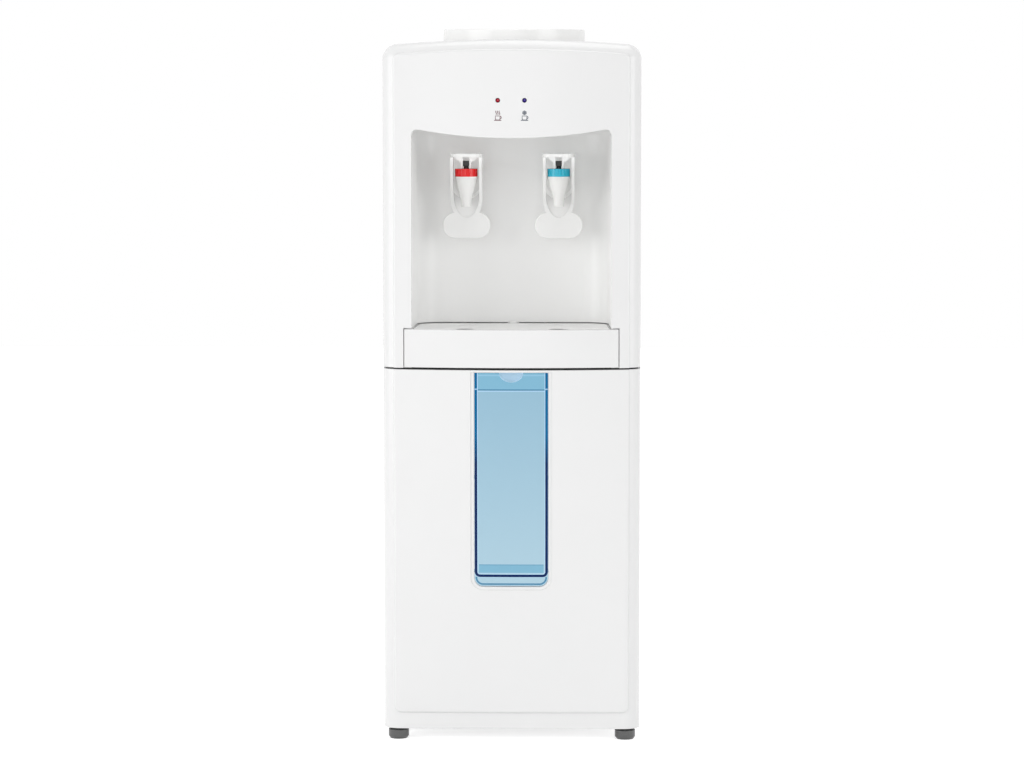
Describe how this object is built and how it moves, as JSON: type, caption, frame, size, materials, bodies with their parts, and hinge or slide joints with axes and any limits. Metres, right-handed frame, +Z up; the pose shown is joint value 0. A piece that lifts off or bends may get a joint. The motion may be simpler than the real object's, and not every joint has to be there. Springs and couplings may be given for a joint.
{
  "type": "water cooler",
  "caption": "Floor-standing bottled-water cooler with hot and cold push-lever taps over a slide-out drip tray, and a tilt-out cup bin below.",
  "frame": {"origin": "on the floor under the middle of the cooler's bounding box", "axes": "+X to the right as one faces the taps, -Y is the front with the taps, +Z is up"},
  "size_m": [0.31, 0.31, 0.858],
  "materials": {
    "white_shell": "smooth white moulding, semi-gloss",
    "bay_white": "smooth pale grey-white moulding",
    "painted_sheet": "white powder coat on sheet steel",
    "bin_blue": "clear pale blue moulding",
    "lever_white": "milky white moulding",
    "tap_red": "red moulding",
    "tap_blue": "light blue moulding",
    "stem_black": "black moulding",
    "foot_black": "black moulding, glossy",
    "dark_rubber": "black rubber",
    "dark_plastic": "black moulding",
    "bare_steel": "plain steel",
    "band_steel": "plated steel",
    "sink_aluminium": "extruded aluminium",
    "ceramic_white": "white ceramic and aluminium",
    "foam": "rigid foam",
    "hose_silicone": "milky silicone hose",
    "board_green": "circuit board",
    "lamp_red": "clear red lamp lens",
    "lamp_blue": "clear blue lamp lens"
  },
  "bodies": {
    "root": {"upper_fascia": "white_shell", "lower_fascia": "white_shell", "top_cover": "white_shell", "bottle_collar": "white_shell", "bottle_probe": "bay_white", "tap_bay": "bay_white", "bin_well": "bay_white", "side_panel_right": "painted_sheet", "side_panel_left": "painted_sheet", "back_panel": "painted_sheet", "base_pan": "painted_sheet", "mid_deck": "bare_steel", "back_panel_screws": "bare_steel", "seam_gasket": "dark_rubber", "tap_nuts": "lever_white", "cold_tank": "bare_steel", "cold_tank_foam": "foam", "cooling_module": "ceramic_white", "heat_sink": "sink_aluminium", "fan_frame": "dark_plastic", "rear_grille": "dark_plastic", "hot_tank": "bare_steel", "heater_band": "band_steel", "thermostats": "dark_plastic", "tap_hoses": "hose_silicone", "hot_feed_hose": "hose_silicone", "drain_tube": "hose_silicone", "switch_housings": "dark_plastic", "cord_gland": "dark_rubber", "power_supply": "band_steel", "indicator_board": "board_green", "red_lamp": "lamp_red", "blue_lamp": "lamp_blue", "hot_tap_body": "lever_white", "hot_tap_ring": "tap_red", "hot_tap_spring": "bare_steel", "cold_tap_body": "lever_white", "cold_tap_ring": "tap_blue", "cold_tap_spring": "bare_steel"},
    "drip_tray": {"drip_tray": "white_shell"},
    "drip_grille": {"drip_grille": "bay_white"},
    "cup_bin": {"cup_bin": "bin_blue"},
    "hot_tap_stem": {"hot_tap_stem": "stem_black", "hot_tap_seal": "dark_rubber"},
    "hot_tap_lever": {"hot_tap_lever": "lever_white", "hot_tap_pin": "bare_steel"},
    "cold_tap_stem": {"cold_tap_stem": "stem_black", "cold_tap_seal": "dark_rubber"},
    "cold_tap_lever": {"cold_tap_lever": "lever_white", "cold_tap_pin": "bare_steel"},
    "cold_rocker": {"cold_rocker": "dark_plastic"},
    "hot_rocker": {"hot_rocker": "tap_red"},
    "fan_rotor": {"fan_rotor": "dark_plastic"},
    "drain_plug": {"drain_plug": "bay_white"},
    "foot_front_left": {"foot_front_left": "foot_black"},
    "foot_front_right": {"foot_front_right": "foot_black"},
    "foot_back_left": {"foot_back_left": "foot_black"},
    "foot_back_right": {"foot_back_right": "foot_black"}
  },
  "joints": [
    {"name": "drip_tray_slide", "type": "slide", "parent": "root", "child": "drip_tray", "axis": [0, -1, 0], "range_m": [0, 0.125]},
    {"name": "drip_grille_lift", "type": "slide", "parent": "drip_tray", "child": "drip_grille", "axis": [0, 0, 1], "range_m": [0, 0.06]},
    {"name": "cup_bin_tilt", "type": "hinge", "parent": "root", "child": "cup_bin", "pos_m": [0, -0.14048, 0.208], "axis": [1, 0, 0], "range_deg": [0, 28]},
    {"name": "hot_tap_stem_lift", "type": "slide", "parent": "root", "child": "hot_tap_stem", "axis": [0, 0, 1], "range_m": [0, 0.0024], "deforming": ["hot_tap_spring"]},
    {"name": "hot_tap_lever_push", "type": "hinge", "parent": "hot_tap_stem", "child": "hot_tap_lever", "pos_m": [-0.0559, -0.082, 0.6964], "axis": [1, 0, 0], "range_deg": [0, 15], "stiffness_Nm_per_rad": 0.042, "springref_deg": -27.27},
    {"name": "cold_tap_stem_lift", "type": "slide", "parent": "root", "child": "cold_tap_stem", "axis": [0, 0, 1], "range_m": [0, 0.0024], "deforming": ["cold_tap_spring"]},
    {"name": "cold_tap_lever_push", "type": "hinge", "parent": "cold_tap_stem", "child": "cold_tap_lever", "pos_m": [0.0559, -0.082, 0.6964], "axis": [1, 0, 0], "range_deg": [0, 15], "stiffness_Nm_per_rad": 0.042, "springref_deg": -27.27},
    {"name": "cold_rocker_press", "type": "hinge", "parent": "root", "child": "cold_rocker", "pos_m": [0.096, 0.144, 0.56], "axis": [1, 0, 0], "range_deg": [0, 16]},
    {"name": "hot_rocker_press", "type": "hinge", "parent": "root", "child": "hot_rocker", "pos_m": [0.096, 0.144, 0.53], "axis": [1, 0, 0], "range_deg": [0, 16]},
    {"name": "fan_spin", "type": "hinge", "parent": "root", "child": "fan_rotor", "pos_m": [0, 0.1328, 0.678], "axis": [0, 1, 0], "continuous": true},
    {"name": "drain_plug_pull", "type": "slide", "parent": "root", "child": "drain_plug", "axis": [0, 1, 0], "range_m": [0, 0.025]},
    {"name": "foot_front_left_turn", "type": "hinge", "parent": "root", "child": "foot_front_left", "pos_m": [-0.1374, -0.118, 0.01], "axis": [0, 0, 1], "range_deg": [-180, 180]},
    {"name": "foot_front_right_turn", "type": "hinge", "parent": "root", "child": "foot_front_right", "pos_m": [0.1374, -0.118, 0.01], "axis": [0, 0, 1], "range_deg": [-180, 180]},
    {"name": "foot_back_left_turn", "type": "hinge", "parent": "root", "child": "foot_back_left", "pos_m": [-0.1374, 0.12, 0.01], "axis": [0, 0, 1], "range_deg": [-180, 180]},
    {"name": "foot_back_right_turn", "type": "hinge", "parent": "root", "child": "foot_back_right", "pos_m": [0.1374, 0.12, 0.01], "axis": [0, 0, 1], "range_deg": [-180, 180]}
  ],
  "couplings": [
    {"joint": "hot_tap_stem_lift", "follows": "hot_tap_lever_push", "m_per_rad": 0.0084},
    {"joint": "cold_tap_stem_lift", "follows": "cold_tap_lever_push", "m_per_rad": 0.0084}
  ]
}
